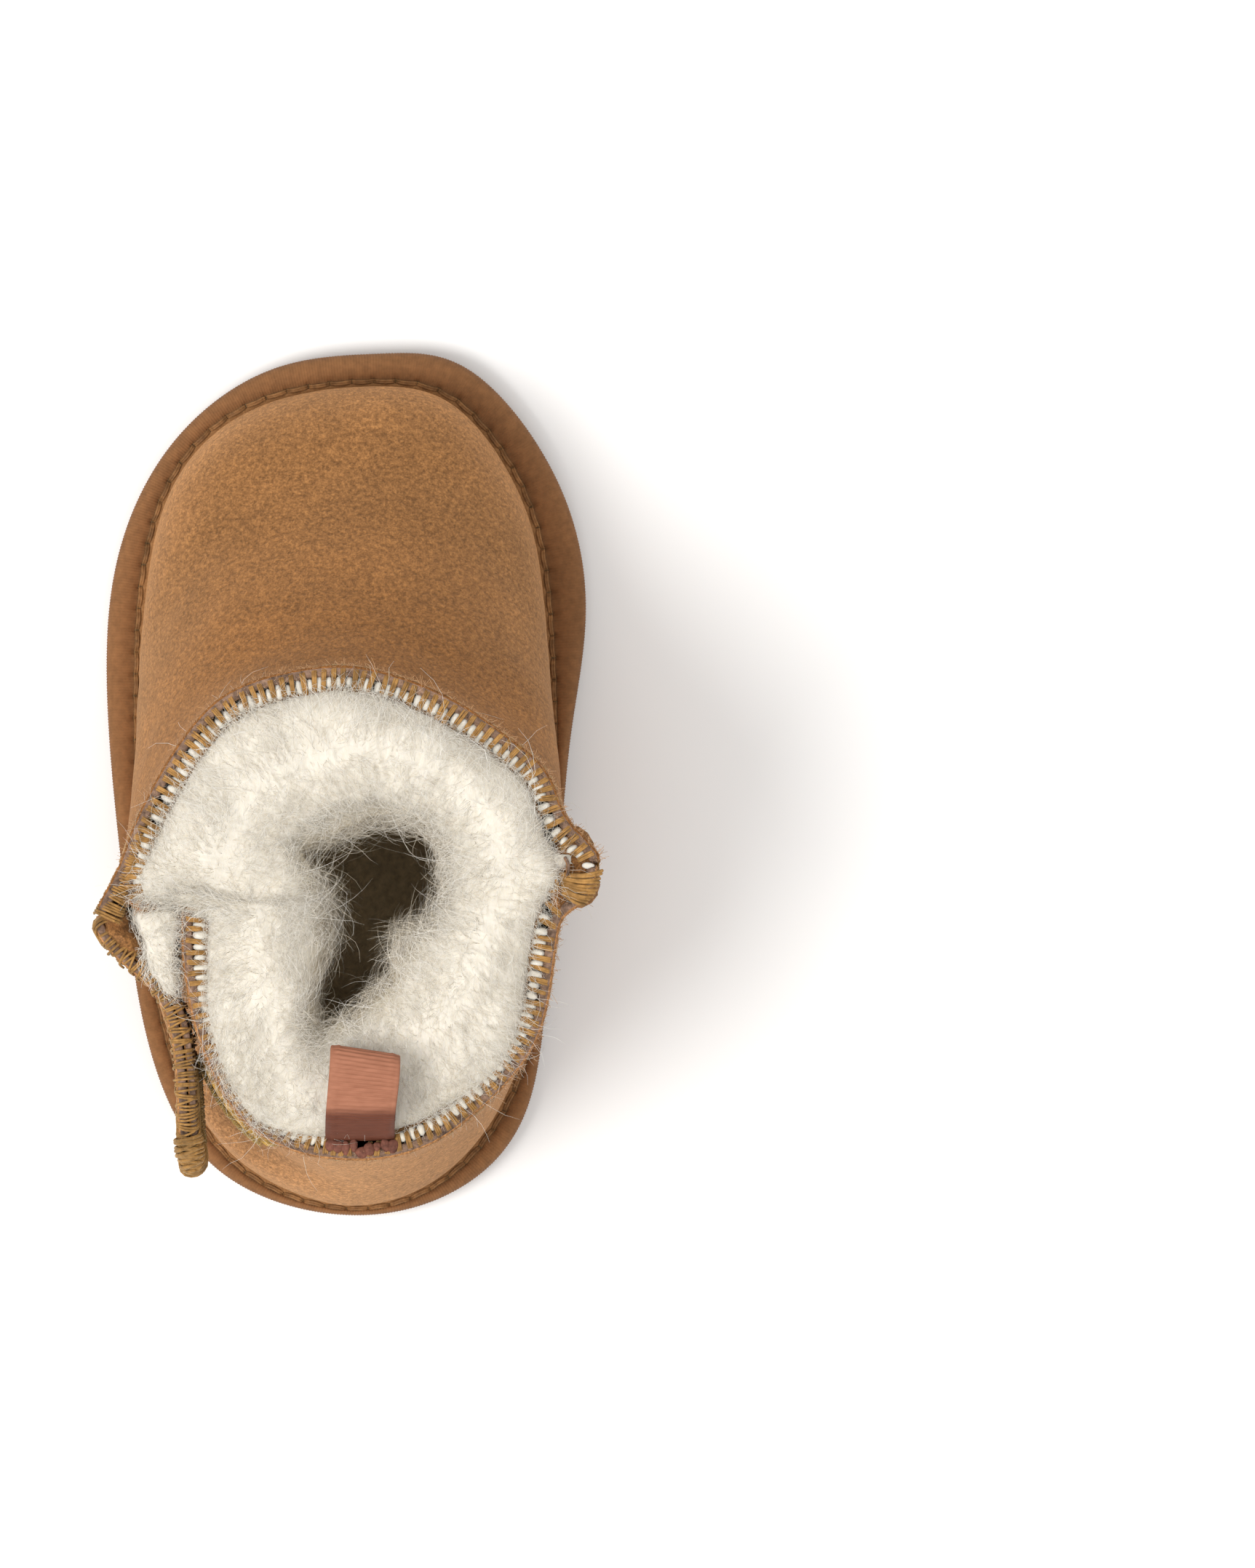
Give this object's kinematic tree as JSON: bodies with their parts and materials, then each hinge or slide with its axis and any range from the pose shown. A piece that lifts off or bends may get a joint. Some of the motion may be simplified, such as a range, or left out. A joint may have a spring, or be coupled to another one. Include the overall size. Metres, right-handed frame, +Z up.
{
  "type": "baby bootie",
  "caption": "Low suede infant bootie, wool lined, with a bound stitched sole, a side closure flap on hook-and-loop and a ribbon pull tab at the heel.",
  "frame": {"origin": "on the ground under the sole, at the middle of the bootie's box in plan", "axes": "+Y to the heel, -Y to the toe, +Z up, +X to the closure side, which is the outer side of a left foot"},
  "size_m": [0.0762, 0.1274, 0.0948],
  "materials": {
    "suede": "napped suede",
    "facing_suede": "napped suede, darker",
    "binding_tape": "fine-ribbed woven tape",
    "thread": "waxed polyester thread",
    "wool": "sheepskin wool pile",
    "outsole": "scuffed suede",
    "foam": "closed-cell foam",
    "board": "stitched fibre board",
    "footbed": "dense short pile",
    "ribbon": "grosgrain ribbon",
    "hook_tape": "hook tape",
    "loop_tape": "loop tape",
    "label": "satin label, blank"
  },
  "bodies": {
    "root": {"outsole": "outsole", "midsole": "foam", "sole_binding": "binding_tape", "binding_stitching": "thread", "insole_board": "board", "footbed": "footbed", "front_upper": "suede", "back_upper": "suede", "front_lining": "wool", "back_lining": "wool", "front_collar_stitching": "thread", "back_collar_stitching": "thread", "medial_seam_stitching": "thread", "lateral_seam_stitching": "thread", "loop_patch": "loop_tape", "pull_tab_stitching": "thread", "care_label": "label"},
    "flap": {"closure_flap": "suede", "flap_facing": "facing_suede", "hook_patch": "hook_tape", "flap_fleece": "wool", "flap_stitching": "thread"},
    "tab": {"pull_tab": "ribbon"}
  },
  "joints": [
    {"name": "flap_hinge", "type": "hinge", "parent": "root", "child": "flap", "pos_m": [0.0354, 0.0218, 0.0635], "axis": [0, 0, -1], "range_deg": [0, 100]},
    {"name": "tab_hinge", "type": "hinge", "parent": "root", "child": "tab", "pos_m": [-0.0026, 0.0512, 0.0831], "axis": [-1, 0, 0], "range_deg": [-12, 75]}
  ]
}
